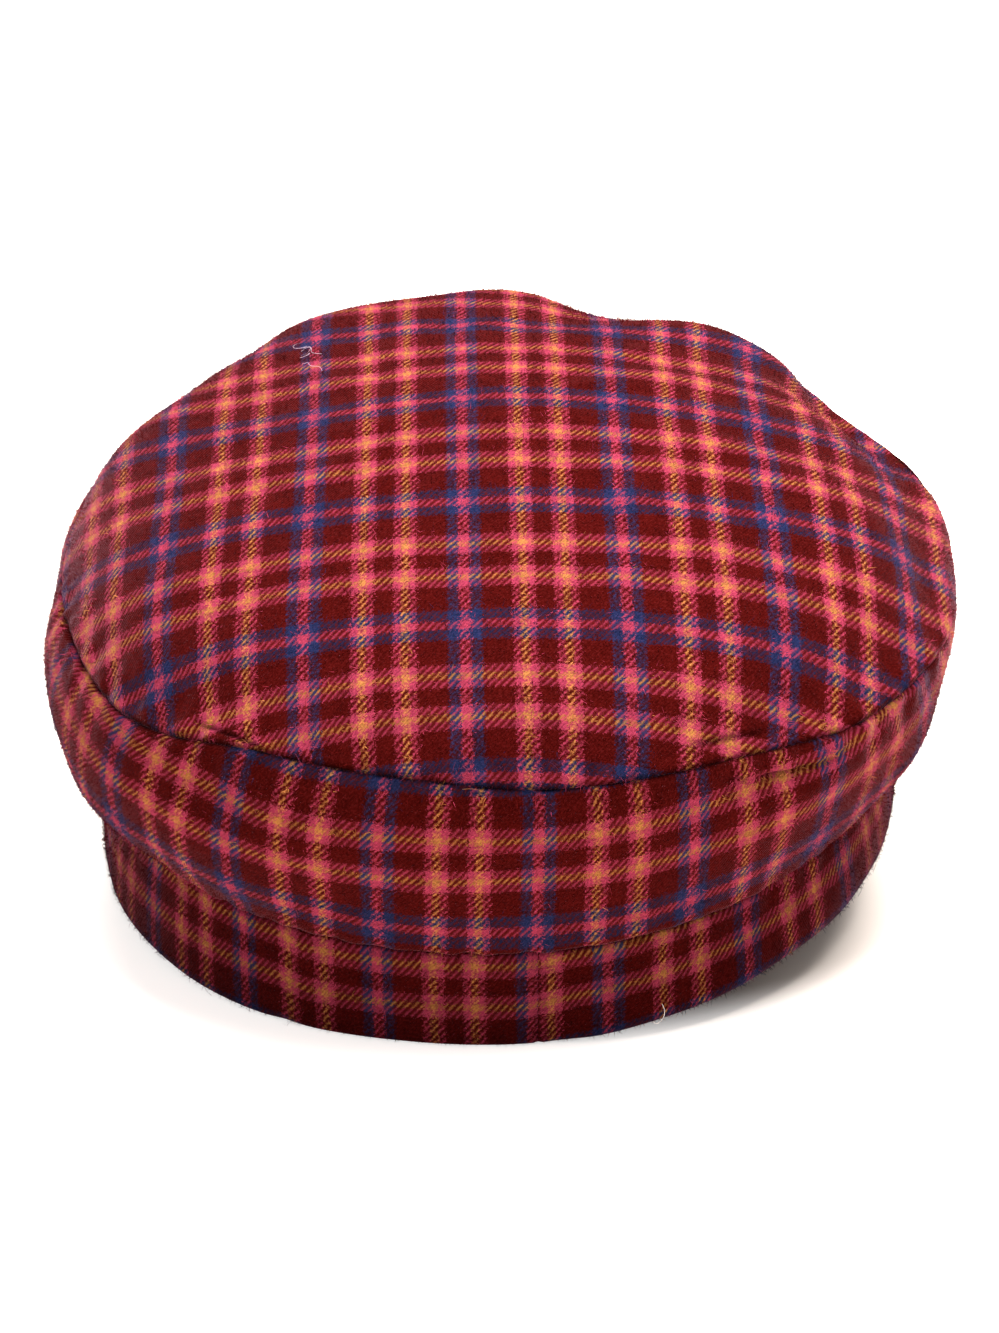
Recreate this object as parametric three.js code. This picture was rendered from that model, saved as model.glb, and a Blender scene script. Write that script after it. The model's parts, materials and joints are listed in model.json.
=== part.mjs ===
import * as THREE from 'three';
import { mergeVertices } from 'three/addons/utils/BufferGeometryUtils.js';

// Soft wool cap: an oval top, a full side panel in two pieces, a headband and a peak.
// Millimetres, +Z up. The peak points toward -Y, the back of the head toward +Y.
// The cap lies as it rests by itself: on the back of its hem and on the edge of its peak.
// Bearings are degrees round the crown from the centre back, positive toward -X.

// Cloth and seams
const clothThickness = 2;
const bandThickness = 3;
const peakThickness = 3.4;
const peakEdgeThickness = 2.6;
const seamGap = 0.3;
const sideSeamBearing = 110;
const tipSeamDitch = 0.9;
const bandSeamDitch = 0.6;
const bandSeamGroove = 0.9;

// How the cap rests
const restTilt = 6.3;
const hemFlattening = 1.2;
const liftPower = 1.25;

// Peak, in the resting pose
const peakSpread = 64;
const peakHalfWidth = 84.5;
const peakEndReach = 43;
const peakFrontReach = 140;
const peakCamber = 2.6;
const peakFlatShare = 0.34;
const peakEndTrim = 0.985;

// Mesh fineness
const backColumns = 50;
const frontColumns = 34;
const peakColumns = 30;
const peakRows = 6;

// One row for each section of the cap. half: half width; back, front: reach from the axis;
// zBack, zCorner, zSide, zFront: heights above the hem's own plane at 0, 45, 90 and 180 degrees;
// sag: how much the +X side hangs lower than the middle; lift: how far the -X side is bent up;
// square, squareFront: 2 is an ellipse, more is squarer, for the back and the front half.
const sectionColumns = [
  'half', 'back', 'front', 'zBack', 'zCorner', 'zSide', 'zFront', 'sag', 'lift', 'square', 'squareFront',
];
const section = (...values) => Object.fromEntries(sectionColumns.map((name, i) => [name, values[i]]));

// Headband, from the hem to the band seam
const hemEdge = section(91, 97, 96.2, 0, 0, 0, 0, 2.6, 11.5, 2.05, 2.1);
const hemTurn = section(91.8, 97.8, 97, 1.4, 1.4, 1.4, 1.4, 2.6, 11.5, 2.05, 2.1);
const bandMiddle = section(91.4, 98.8, 97, 12.8, 12.4, 12, 12, 2, 9, 2.05, 2.1);
const bandSeam = section(89.8, 99.6, 95, 25.7, 25, 24, 24, 1.2, 5.5, 2.05, 2.1);

// Side of the crown, from the band seam to the tip seam
const lowSide = section(96, 101.4, 98, 34.5, 33.8, 33, 36, 1.6, 3, 2.1, 2.1);
const midSide = section(101.5, 104, 100.5, 45, 44.5, 45, 54, 2.5, 2, 2.15, 2.15);
const fullSide = section(104.4, 106.2, 99.5, 55.5, 56.2, 58, 72, 5, 1.5, 2.2, 2.25);
const highSide = section(103, 107.2, 94.5, 64, 65.5, 66, 86, 3.5, 1, 2.15, 2.3);
const tipSeam = section(98.3, 106, 87.5, 69.5, 71, 68, 93, 1, 0, 2.1, 2.3);

// Top of the crown, from the tip seam to the last ring round the middle
const tipRows = [
  tipSeam,
  section(95.3, 101.8, 84.5, 75.8, 76.5, 74, 97.6, 1, 0, 2.1, 2.35),
  section(89.3, 95.2, 79, 82.3, 83, 81, 101.2, 1, 0, 2.1, 2.35),
  section(80, 84, 71, 89.4, 89.5, 88, 103.2, 1, 0, 2.1, 2.3),
  section(64, 67, 56, 96.6, 96.6, 95.8, 105.6, 1, 0, 2.1, 2.2),
  section(46, 48, 39, 102, 102, 102.2, 108, 1, 0, 2.1, 2.1),
  section(28, 30, 21, 105.8, 106, 106.8, 109.4, 0.6, 0, 2, 2),
  section(12, 15, 6, 108.4, 108.6, 109.2, 110, 0.3, 0, 2, 2),
];
const tipPole = { y: 4.5, z: 109.4 };

// Folds and dents: at: bearing; wide: half spread in degrees; row: place along the rows;
// tall: half spread in rows; deep: millimetres inward, negative for a swelling.
// They fade out towards the seams, so that neighbouring pieces keep meeting.
const sideFolds = [
  { at: -42, wide: 5, row: 3.6, tall: 0.7, deep: 2.6 },
  { at: -31, wide: 6, row: 3.3, tall: 0.8, deep: -1.4 },
  { at: 26, wide: 8, row: 3.6, tall: 0.6, deep: 2.2 },
  { at: 37, wide: 6, row: 3.2, tall: 0.7, deep: -1.4 },
  { at: 70, wide: 9, row: 1.2, tall: 0.8, deep: 1.4 },
  { at: -76, wide: 28, row: 1.3, tall: 1.0, deep: -3.6 },
  { at: 92, wide: 5, row: 3.6, tall: 1.2, deep: 1.8 },
  { at: -101, wide: 12, row: 3.5, tall: 1.3, deep: 3.6 },
  { at: 106, wide: 8, row: 3.9, tall: 1.3, deep: -3.4 },
  { at: 150, wide: 14, row: 2.5, tall: 1.2, deep: 2.4 },
  { at: -146, wide: 15, row: 2.4, tall: 1.2, deep: 2.0 },
];
const tipFolds = [
  { at: -46, wide: 7, row: 1.0, tall: 0.8, deep: 1.8 },
  { at: 28, wide: 9, row: 0.9, tall: 0.7, deep: 1.6 },
  { at: 119, wide: 8, row: 1.7, tall: 1.5, deep: 2.6 },
  { at: 136, wide: 8, row: 1.8, tall: 1.7, deep: -4.2 },
  { at: 158, wide: 9, row: 1.8, tall: 1.7, deep: 4.4 },
  { at: 178, wide: 9, row: 1.9, tall: 1.7, deep: -1.4 },
  { at: -150, wide: 14, row: 1.9, tall: 1.8, deep: -2.4 },
  { at: -118, wide: 14, row: 1.8, tall: 1.8, deep: -1.8 },
];

// Where the tip seam itself is pulled up or sags, shared by the pieces on both sides of it
const tipSeamBends = [
  { at: -39, wide: 8, up: 2.4 },
  { at: -14, wide: 9, up: -0.6 },
  { at: 34, wide: 10, up: -1.2 },
  { at: 118, wide: 12, up: -1.5 },
];
const bendReach = 0.9;
const foldFade = 0.5;

const degree = Math.PI / 180;

function ringPoint(row, bearing) {
  const s = Math.sin(bearing * degree);
  const c = Math.cos(bearing * degree);
  const reach = c > 0 ? row.back : row.front;
  const power = c > 0 ? row.square : row.squareFront;
  const radius = (Math.abs(s / row.half) ** power + Math.abs(c / reach) ** power) ** (-1 / power);
  const back = row.zBack - row.zSide;
  const front = row.zFront - row.zSide;
  const corner = row.zCorner - row.zSide;
  const cube = back - front - 2 * Math.SQRT2 * (corner - (back + front) / 4);
  const z = row.zSide + ((back - front) / 2 - cube) * c + ((back + front) / 2) * c * c + cube * c ** 3;
  return new THREE.Vector3(-radius * s, radius * c, z + row.sag * s + row.lift * Math.max(s, 0) ** liftPower);
}

// Smooth in-between row at a fractional place in a table of rows
function rowAt(rows, place) {
  const first = Math.min(Math.max(Math.floor(place), 0), rows.length - 2);
  const t = place - first;
  const before = rows[Math.max(first - 1, 0)];
  const from = rows[first];
  const to = rows[first + 1];
  const after = rows[Math.min(first + 2, rows.length - 1)];
  const row = {};
  for (const key of Object.keys(from)) {
    const startPull = first > 0 ? (to[key] - before[key]) / 2 : to[key] - from[key];
    const endPull = first + 2 < rows.length ? (after[key] - from[key]) / 2 : to[key] - from[key];
    row[key] = (2 * t ** 3 - 3 * t ** 2 + 1) * from[key] + (t ** 3 - 2 * t ** 2 + t) * startPull
      + (3 * t ** 2 - 2 * t ** 3) * to[key] + (t ** 3 - t ** 2) * endPull;
  }
  return row;
}

function normalOf(pointAt, place, bearing, low, high) {
  const step = 0.04;
  const up = pointAt(Math.min(place + step, high), bearing).sub(pointAt(Math.max(place - step, low), bearing));
  const around = pointAt(place, bearing + 0.4).sub(pointAt(place, bearing - 0.4));
  return around.cross(up).normalize();
}

// Bell-shaped share of a fold at a bearing, the short way round
function bell(bearing, fold) {
  const turn = ((bearing - fold.at + 540) % 360) - 180;
  return Math.exp(-((turn / fold.wide) ** 2));
}

// A skin is the outer face of a piece, by place along its rows and bearing
function makeSkin(rows, folds, tipSeamPlace) {
  const high = rows.length - 1;
  const plain = (place, bearing) => {
    const spot = ringPoint(rowAt(rows, place), bearing);
    const fade = Math.exp(-(((place - tipSeamPlace) / bendReach) ** 2));
    if (fade > 0.001) for (const bend of tipSeamBends) spot.z += bend.up * fade * bell(bearing, bend);
    return spot;
  };
  const point = (place, bearing) => {
    const toSeam = Math.min(place, tipSeamPlace > 0 ? high - place : high);
    let depth = 0;
    for (const fold of folds) {
      const tall = Math.exp(-(((place - fold.row) / fold.tall) ** 2));
      depth += fold.deep * tall * bell(bearing, fold);
    }
    depth *= Math.min(toSeam / foldFade, 1);
    const spot = plain(place, bearing);
    if (Math.abs(depth) < 0.02) return spot;
    return spot.addScaledVector(normalOf(plain, place, bearing, 0, high), -depth);
  };
  const ditchAt = (place) => (place === tipSeamPlace ? tipSeamDitch : bandSeamDitch);
  return { high, point, ditchAt, normal: (place, bearing) => normalOf(point, place, bearing, 0, high) };
}

// At a seam both walls end along the same line, half way between their normals
function seamAim(skinBelow, skinAbove, bearing) {
  const below = skinBelow.normal(skinBelow.high, bearing);
  const above = skinAbove.normal(0, bearing);
  const aim = below.clone().add(above).normalize();
  return { aim, stretch: 1 / aim.dot(below) };
}

// The resting pose: tipped back on the hem, which is flattened where it lies
function rest(spot) {
  const y = spot.y - hemTurn.back;
  const tilt = restTilt * degree;
  const z = spot.z * Math.cos(tilt) - y * Math.sin(tilt) - hemFlattening;
  return new THREE.Vector3(spot.x, hemTurn.back + y * Math.cos(tilt) + spot.z * Math.sin(tilt), Math.max(z, 0));
}

// One wall: outer and inner grids of points, edge rows set back by half a seam gap
function wallGrids(skin, places, bearings, thickness, lowSeam, highSeam) {
  const outer = [];
  const inner = [];
  places.forEach((place, index) => {
    const atLow = index === 0 && lowSeam;
    const atHigh = index === places.length - 1 && highSeam;
    const outerRow = [];
    const innerRow = [];
    for (const bearing of bearings) {
      const spot = skin.point(place, bearing);
      let aim = skin.normal(place, bearing);
      let stretch = 1;
      if (atLow || atHigh) {
        const ditch = skin.ditchAt(place);
        const seam = seamAim(...(atLow ? lowSeam : highSeam), bearing);
        aim = seam.aim;
        stretch = seam.stretch;
        const away = skin.point(place + (atLow ? 0.2 : -0.2), bearing).sub(spot);
        spot.add(away.setLength(seamGap / 2));
        spot.addScaledVector(aim, -ditch);
      }
      outerRow.push(rest(spot));
      innerRow.push(rest(spot.clone().addScaledVector(aim, -thickness * stretch)));
    }
    outer.push(outerRow);
    inner.push(innerRow);
  });
  return { outer, inner };
}

// A closed solid between two grids of equal size. A ring closes on itself,
// and a pole closes the last row of each grid in one point.
function solidBetween({ outer, inner }, { ring = false, poles = null } = {}) {
  const spots = [];
  const faces = [];
  const store = (grid) => grid.map((row) => row.map((spot) => spots.push(spot) - 1));
  const a = store(outer);
  const b = store(inner);
  const rows = a.length;
  const columns = a[0].length;
  const last = ring ? columns : columns - 1;
  const quad = (p, q, r, s) => {
    if (spots[p].distanceTo(spots[r]) < spots[q].distanceTo(spots[s])) faces.push(p, q, r, p, r, s);
    else faces.push(p, q, s, q, r, s);
  };
  for (let j = 0; j < last; j++) {
    const k = (j + 1) % columns;
    for (let i = 0; i < rows - 1; i++) {
      quad(a[i][j], a[i][k], a[i + 1][k], a[i + 1][j]);
      quad(b[i][j], b[i + 1][j], b[i + 1][k], b[i][k]);
    }
    quad(a[0][j], b[0][j], b[0][k], a[0][k]);
    if (!poles) quad(a[rows - 1][j], a[rows - 1][k], b[rows - 1][k], b[rows - 1][j]);
  }
  if (poles) {
    const [top, under] = poles.map((spot) => spots.push(spot) - 1);
    for (let j = 0; j < columns; j++) {
      const k = (j + 1) % columns;
      faces.push(a[rows - 1][j], a[rows - 1][k], top);
      faces.push(b[rows - 1][j], under, b[rows - 1][k]);
    }
  }
  if (!ring) {
    for (let i = 0; i < rows - 1; i++) {
      quad(a[i][0], a[i + 1][0], b[i + 1][0], b[i][0]);
      quad(a[i][last], b[i][last], b[i + 1][last], a[i + 1][last]);
    }
  }
  const geometry = new THREE.BufferGeometry();
  geometry.setAttribute('position', new THREE.Float32BufferAttribute(spots.flatMap((p) => p.toArray()), 3));
  geometry.setIndex(faces);
  const merged = mergeVertices(geometry, 1e-4);
  merged.computeVertexNormals();
  return merged;
}

function spread(from, to, steps) {
  return Array.from({ length: steps + 1 }, (_, i) => from + (to - from) * i / steps);
}

function wool(color) {
  return new THREE.MeshStandardMaterial({ color, roughness: 0.95, metalness: 0 });
}

const cap = new THREE.Group();

function addPiece(name, geometry, color) {
  const piece = new THREE.Mesh(geometry, wool(color));
  piece.name = name;
  cap.add(piece);
}

const bandSkin = makeSkin([hemEdge, hemTurn, bandMiddle, bandSeam], [], Infinity);
const sideSkin = makeSkin([bandSeam, lowSide, midSide, fullSide, highSide, tipSeam], sideFolds, 5);
const tipSkin = makeSkin(tipRows, tipFolds, 0);
const bandJoin = [bandSkin, sideSkin];
const tipJoin = [sideSkin, tipSkin];

const backBearings = spread(-sideSeamBearing, sideSeamBearing, backColumns);
const frontBearings = spread(sideSeamBearing, 360 - sideSeamBearing, frontColumns);
const ringBearings = [...backBearings, ...frontBearings.slice(1, -1)];

// Top of the crown
function makeTip() {
  const places = [0, 0.35, 0.8, 1.35, 2, 2.7, 3.4, 4.2, 5, 5.9, 7];
  const grids = wallGrids(tipSkin, places, ringBearings, clothThickness, tipJoin, null);
  const top = new THREE.Vector3(0, tipPole.y, tipPole.z);
  const under = top.clone().setZ(tipPole.z - clothThickness);
  return solidBetween(grids, { ring: true, poles: [rest(top), rest(under)] });
}

// Side of the crown, a back piece and a front piece that meet at two short seams
function makeSide(bearings) {
  const places = [0, 0.3, 0.8, 1.5, 2.2, 2.9, 3.6, 4.2, 4.7, 5];
  const halfGap = seamGap / 2 / sideSkin.point(2, bearings[0]).length() / degree;
  const trimmed = bearings.slice();
  trimmed[0] += halfGap;
  trimmed[trimmed.length - 1] -= halfGap;
  return solidBetween(wallGrids(sideSkin, places, trimmed, clothThickness, bandJoin, tipJoin));
}

// Headband, folded double over the hem, with a stitched groove at the centre back
function makeBand() {
  const grooveBearings = [-1.4, -0.5, 0.5, 1.4];
  const bearings = [...ringBearings, ...grooveBearings].sort((p, q) => p - q);
  const places = [0, 0.55, 1, 1.5, 2, 2.6, 3];
  const grids = wallGrids(bandSkin, places, bearings, bandThickness, null, bandJoin);
  bearings.forEach((bearing, column) => {
    const depth = bandSeamGroove * Math.exp(-((bearing / 0.7) ** 2));
    const inward = grids.inner[3][column].clone().sub(grids.outer[3][column]).setLength(depth);
    for (const row of grids.outer) row[column].addScaledVector(inward, depth > 0.05 ? 1 : 0);
  });
  const turnUp = hemTurn.half - hemEdge.half;
  grids.inner[0].forEach((spot, column) => {
    const out = grids.outer[0][column].clone().sub(spot).setZ(0).setLength(turnUp);
    spot.add(out);
  });
  return solidBetween(grids, { ring: true });
}

// Peak: a stiff crescent covered in the same cloth, from the front of the hem to the floor
function makePeak() {
  const top = [];
  const under = [];
  const shares = spread(peakEndTrim, -peakEndTrim, peakColumns);
  const lowPlace = 0.75;
  const highPlace = 1.3;
  for (let i = 0; i <= peakRows; i++) {
    const v = i / peakRows;
    const topRow = [];
    const underRow = [];
    for (const share of shares) {
      const bearing = 180 + share * peakSpread;
      const out = bandSkin.normal(1.2, bearing).setZ(0).setLength(seamGap);
      const seatLow = rest(bandSkin.point(lowPlace, bearing).add(out));
      const seatHigh = rest(bandSkin.point(highPlace, bearing).add(out));
      const angle = share * 90 * degree;
      const lift = Math.max(Math.abs(share) - peakFlatShare, 0) / (1 - peakFlatShare);
      const edge = new THREE.Vector3(
        peakHalfWidth * Math.sin(angle),
        -peakEndReach - (peakFrontReach - peakEndReach) * Math.cos(angle),
        seatLow.z * lift ** 1.7,
      );
      const arch = peakCamber * Math.sin(Math.PI * v) * (1 - share * share);
      const thickness = THREE.MathUtils.lerp(peakThickness, peakEdgeThickness, v);
      const low = seatLow.clone().lerp(edge, v);
      low.z += arch;
      const high = seatHigh.clone().lerp(edge.clone().setZ(edge.z + thickness), v);
      high.z += arch;
      topRow.push(high);
      underRow.push(low);
    }
    top.push(topRow);
    under.push(underRow);
  }
  return solidBetween({ outer: top, inner: under });
}

addPiece('crown_tip', makeTip(), 0x8a2228);
addPiece('side_panel_back', makeSide(backBearings), 0x7c1d26);
addPiece('side_panel_front', makeSide(frontBearings), 0x7c1d26);
addPiece('headband', makeBand(), 0x6c1820);
addPiece('peak', makePeak(), 0x741a22);

// The origin is the middle of the cap's footprint, on the floor
const bounds = new THREE.Box3().setFromObject(cap);
const middle = bounds.getCenter(new THREE.Vector3()).setZ(bounds.min.z);
for (const piece of cap.children) piece.geometry.translate(-middle.x, -middle.y, -middle.z);

export default cap;
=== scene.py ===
import json
import math

import bpy
import numpy as np
from mathutils import Matrix, Vector
from mathutils.bvhtree import BVHTree

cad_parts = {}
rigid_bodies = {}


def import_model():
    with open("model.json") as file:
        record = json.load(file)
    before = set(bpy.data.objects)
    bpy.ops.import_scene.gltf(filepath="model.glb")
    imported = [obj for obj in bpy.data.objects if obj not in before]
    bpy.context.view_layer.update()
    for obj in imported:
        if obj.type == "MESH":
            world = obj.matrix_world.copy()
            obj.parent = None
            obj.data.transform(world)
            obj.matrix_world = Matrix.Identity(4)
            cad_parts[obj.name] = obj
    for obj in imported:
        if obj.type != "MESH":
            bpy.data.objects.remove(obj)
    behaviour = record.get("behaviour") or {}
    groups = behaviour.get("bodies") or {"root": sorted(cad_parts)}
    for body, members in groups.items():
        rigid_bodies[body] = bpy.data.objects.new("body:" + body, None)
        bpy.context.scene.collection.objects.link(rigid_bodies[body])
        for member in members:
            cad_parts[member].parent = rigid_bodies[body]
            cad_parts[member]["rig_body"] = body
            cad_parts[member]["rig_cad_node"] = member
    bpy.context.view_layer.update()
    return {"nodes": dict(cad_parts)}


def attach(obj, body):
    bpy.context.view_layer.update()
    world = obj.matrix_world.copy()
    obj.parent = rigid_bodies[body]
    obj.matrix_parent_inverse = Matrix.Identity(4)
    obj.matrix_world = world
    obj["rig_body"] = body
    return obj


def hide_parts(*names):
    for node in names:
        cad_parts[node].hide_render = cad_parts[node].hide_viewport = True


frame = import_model()
scene = bpy.context.scene
mm = 0.001


# Camera: from behind and above, with the small roll of the photograph

shot = {
    "look": (0, 0, 0.05),
    "distance": 1.35,
    "elevation": 22.2,
    "yaw": 5.5,
    "roll": 1.4,
    "aimRight": 0.0022,
    "aimUp": -0.0052,
    "lens": 156.4,
    "clipStart": 0.05,
}


def addCamera():
    elevation, yaw, roll = (math.radians(shot[key]) for key in ("elevation", "yaw", "roll"))
    level = math.cos(elevation)
    toward = Vector((math.sin(yaw) * level, math.cos(yaw) * level, math.sin(elevation)))
    levelRight = Vector((-math.cos(yaw), math.sin(yaw), 0))
    levelUp = toward.cross(levelRight)
    right = levelRight * math.cos(roll) - levelUp * math.sin(roll)
    up = levelRight * math.sin(roll) + levelUp * math.cos(roll)
    place = Vector(shot["look"]) + toward * shot["distance"]
    aim = Vector(shot["look"]) + right * shot["aimRight"] + up * shot["aimUp"]
    back = (place - aim).normalized()
    side = (right - back * right.dot(back)).normalized()
    turned = Matrix((side, back.cross(side), back)).transposed().to_4x4()
    camera = bpy.data.objects.new("camera", bpy.data.cameras.new("camera"))
    camera.data.lens = shot["lens"]
    camera.data.clip_start = shot["clipStart"]
    camera.matrix_world = Matrix.Translation(place) @ turned
    scene.collection.objects.link(camera)
    scene.camera = camera


addCamera()
print("camera set")


# Shader maths: a wire is one output socket, and sums on it add Math nodes

class Wire:
    def __init__(self, tree, socket=None):
        self.tree = tree
        self.socket = socket

    def node(self, kind, settings, inputs, output=0):
        made = self.tree.nodes.new("ShaderNode" + kind)
        for key, value in settings.items():
            if key == "stops":
                ramp = made.color_ramp.elements
                while len(ramp) < len(value):
                    ramp.new(1)
                for stop, (position, colour) in zip(ramp, value):
                    stop.position = position
                    stop.color = (*colour, 1)
            elif key == "interpolation" and hasattr(made, "color_ramp"):
                made.color_ramp.interpolation = value
            else:
                setattr(made, key, value)
        for key, value in inputs.items():
            if isinstance(value, Wire):
                self.tree.links.new(value.socket, made.inputs[key])
            else:
                made.inputs[key].default_value = value
        return Wire(self.tree, made.outputs[output])

    def maths(self, operation, *others):
        return self.node("Math", {"operation": operation}, dict(enumerate((self, *others))))

    def __add__(self, other):
        return self.maths("ADD", other)

    def __sub__(self, other):
        return self.maths("SUBTRACT", other)

    def __rsub__(self, other):
        return self.node("Math", {"operation": "SUBTRACT"}, {0: other, 1: self})

    def __mul__(self, other):
        return self.maths("MULTIPLY", other)

    def __truediv__(self, other):
        return self.maths("DIVIDE", other)

    __radd__ = __add__
    __rmul__ = __mul__


# Wool cloth: a 2/2 twill in a plaid. The map "cloth" holds the place on the flat cloth in
# millimetres, first across the warp, then along it. A point attribute is 1 down in a seam or
# fold, where it darkens the colour as painted shade.

cloth = {
    "warpPitch": 0.41,
    "weftPitch": 0.53,
    "warpRepeat": 34.2,
    "weftRepeat": 42.3,
    "wander": {"size": 0.5, "scale": 0.35, "detail": 2.0},  # how far the yarns wander, mm
    "ragged": {"size": 2.6, "scale": 2.1, "detail": 2.0},  # how far fibres stray at the stripes' edges, mm
    "fibres": {"Scale": 1.5, "Detail": 5.0, "Roughness": 0.75},
    "felt": {"Scale": 0.22, "Detail": 5.0, "Roughness": 0.65},
    "ribs": {"least": 0.13, "contrast": 1.2, "fibres": 2.8},
    "brightUnder": 0.45,  # how far the bright yarns sink between the dark ones
    "mixGamma": 2.2,
    # colour factors: darker between the twill's ribs as painted shade, and the wool's own uneven tone from
    # the fibre and felt noise
    "shade": {"base": 0.78, "ridge": 0.14, "fibres": 1.7, "felt": 0.7},
    # how much the painted shade down in seams and folds darkens the colour
    "seamShadeStrength": 0.6,
    "haze": {"colour": (0.13, 0.025, 0.028, 1), "fibres": 0.5, "less": 0.26},
    "bump": {"strength": 0.5, "depth": 0.3 * mm, "ridge": 0.5, "fibres": 0.9, "felt": 0.8},
    "roughness": 0.95,
    "sheen": 0.2,
    "sheenRoughness": 0.26,
    "sheenTint": (1, 0.5, 0.62, 1),
}
yarn = {
    "ground": (0.0375, 0.0019, 0.0015),
    "blue": (0.0085, 0.012, 0.040),
    "pink": (0.215, 0.0215, 0.045),
    "yellow": (0.265, 0.098, 0.028),
}
# Half of the stripes' order in a repeat: where each colour starts, in mm from the middle of
# the blue and pink stripe
warpOrder = [
    (0, "pink"),
    (1.15, "blue"),
    (3.5, "ground"),
    (10.1, "pink"),
    (11.7, "yellow"),
    (13.3, "pink"),
    (15.0, "ground"),
]
weftOrder = [
    (0, "pink"),
    (1.3, "blue"),
    (4.6, "ground"),
    (12.2, "pink"),
    (14.5, "yellow"),
    (16.3, "pink"),
    (18.6, "ground"),
]


def threadColour(place, repeat, order):
    away = ((place / repeat + 0.5).maths("FRACT") - 0.5).maths("ABSOLUTE") * 2
    stops = [(start / repeat * 2, yarn[colour]) for start, colour in order]
    return away.node("ValToRGB", {"stops": stops, "interpolation": "CONSTANT"}, {0: away})


def clothNoise(place, settings, output=0):
    return place.node("TexNoise", {"noise_dimensions": "2D"}, {"Vector": place, **settings}, output)


def strayed(place, spot, stray):
    noise = clothNoise(place, {"Scale": stray["scale"], "Detail": stray["detail"]}, "Color")
    centred = noise.node("VectorMath", {"operation": "SUBTRACT"}, {0: noise, 1: (0.5, 0.5, 0.5)})
    sized = centred.node("VectorMath", {"operation": "SCALE"}, {0: centred, "Scale": stray["size"]})
    return sized.node("VectorMath", {"operation": "ADD"}, {0: sized, 1: spot})


def gamma(tint, power):
    return tint.node("Gamma", {}, {0: tint, 1: power})


def plaidTint(ragged, rib, fibres):
    across, along = (ragged.node("SeparateXYZ", {}, {0: ragged}, axis) for axis in (0, 1))
    warp = threadColour(across, cloth["warpRepeat"], warpOrder)
    weft = threadColour(along, cloth["weftRepeat"], weftOrder)
    warpBright, weftBright = (yarns.node("SeparateColor", {}, {0: yarns}, 0) for yarns in (warp, weft))
    apart = warpBright - weftBright
    ribs = apart.maths("ABSOLUTE") * cloth["ribs"]["contrast"] + cloth["ribs"]["least"]
    mottled = (fibres - 0.5) * cloth["ribs"]["fibres"]
    share = rib * ribs + mottled + 0.5 - apart * cloth["brightUnder"]
    # Mixed yarns look darker than the mean of their light, so they mix under a gamma
    mixed = share.node("Mix", {"data_type": "RGBA"}, {
        "Factor": share,
        "A": gamma(weft, 1 / cloth["mixGamma"]),
        "B": gamma(warp, 1 / cloth["mixGamma"]),
    }, 2)
    return gamma(mixed, cloth["mixGamma"])


def woolCloth(name, shade=1.0):
    material = bpy.data.materials.new(name)
    material.use_nodes = True
    tree = material.node_tree
    tree.nodes.clear()
    start = Wire(tree)
    place = start.node("UVMap", {"uv_map": "cloth"}, {})
    # Painted shade: a point attribute that is 1 down in a seam or fold
    hollow = start.node("Attribute", {"attribute_name": "hollow"}, {}, "Fac")
    fibres = clothNoise(place, cloth["fibres"])
    felt = clothNoise(place, cloth["felt"])

    # The twill's slanting ribs, four yarns apart
    wandered = strayed(place, place, cloth["wander"])
    across, along = (wandered.node("SeparateXYZ", {}, {0: wandered}, axis) for axis in (0, 1))
    rib = ((across / cloth["warpPitch"] - along / cloth["weftPitch"]) * (math.pi / 2)).maths("COSINE")
    ridge = rib.maths("ABSOLUTE")
    tint = plaidTint(strayed(place, wandered, cloth["ragged"]), rib, fibres)

    # The colour is darkened between the twill's ribs as painted shade; the noise gives the wool's own
    # uneven tone
    light, haze, bump = cloth["shade"], cloth["haze"], cloth["bump"]
    depth = light["base"] + ridge * light["ridge"]
    depth = depth + (fibres - 0.5) * light["fibres"] + (felt - 0.5) * light["felt"]
    # Darker down in seams and folds: painted shade
    depth = depth * (1 - hollow * cloth["seamShadeStrength"]) * shade
    multiply = {"data_type": "RGBA", "blend_type": "MULTIPLY"}
    shaded = tint.node("Mix", multiply, {"Factor": 1.0, "A": tint, "B": depth}, 2)
    veil = (fibres * haze["fibres"] - haze["less"]).maths("MAXIMUM", 0)
    veiled = {"Factor": veil, "A": shaded, "B": haze["colour"]}
    colour = shaded.node("Mix", {"data_type": "RGBA"}, veiled, 2)

    height = ridge * bump["ridge"] + fibres * bump["fibres"] + felt * bump["felt"]
    bumpInputs = {"Strength": bump["strength"], "Distance": bump["depth"], "Height": height}
    finish = colour.node("BsdfPrincipled", {}, {
        "Base Color": colour,
        "Normal": height.node("Bump", {}, bumpInputs),
        "Roughness": cloth["roughness"],
        "Specular IOR Level": 0,
        "Sheen Weight": cloth["sheen"],
        "Sheen Roughness": cloth["sheenRoughness"],
        "Sheen Tint": cloth["sheenTint"],
    })
    output = tree.nodes.new("ShaderNodeOutputMaterial")
    tree.links.new(finish.socket, output.inputs[0])
    return material


# Lit and shaded copies of one cloth, as painted shade and light: the band much darker, the side and peak a
# little, and the fuzz lighter
woolTop = woolCloth("wool_top")
woolSide = woolCloth("wool_side", shade=0.96)
woolBand = woolCloth("wool_band", shade=0.74)
woolPeak = woolCloth("wool_peak", shade=0.97)
woolFuzz = woolCloth("wool_fuzz", shade=1.55)
print("materials made")


# The skin: the outer faces of the CAD walls, sampled by rays round the cap's own axis.
# Bearings are degrees from the centre back, positive toward -X, as in the CAD model.

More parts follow.
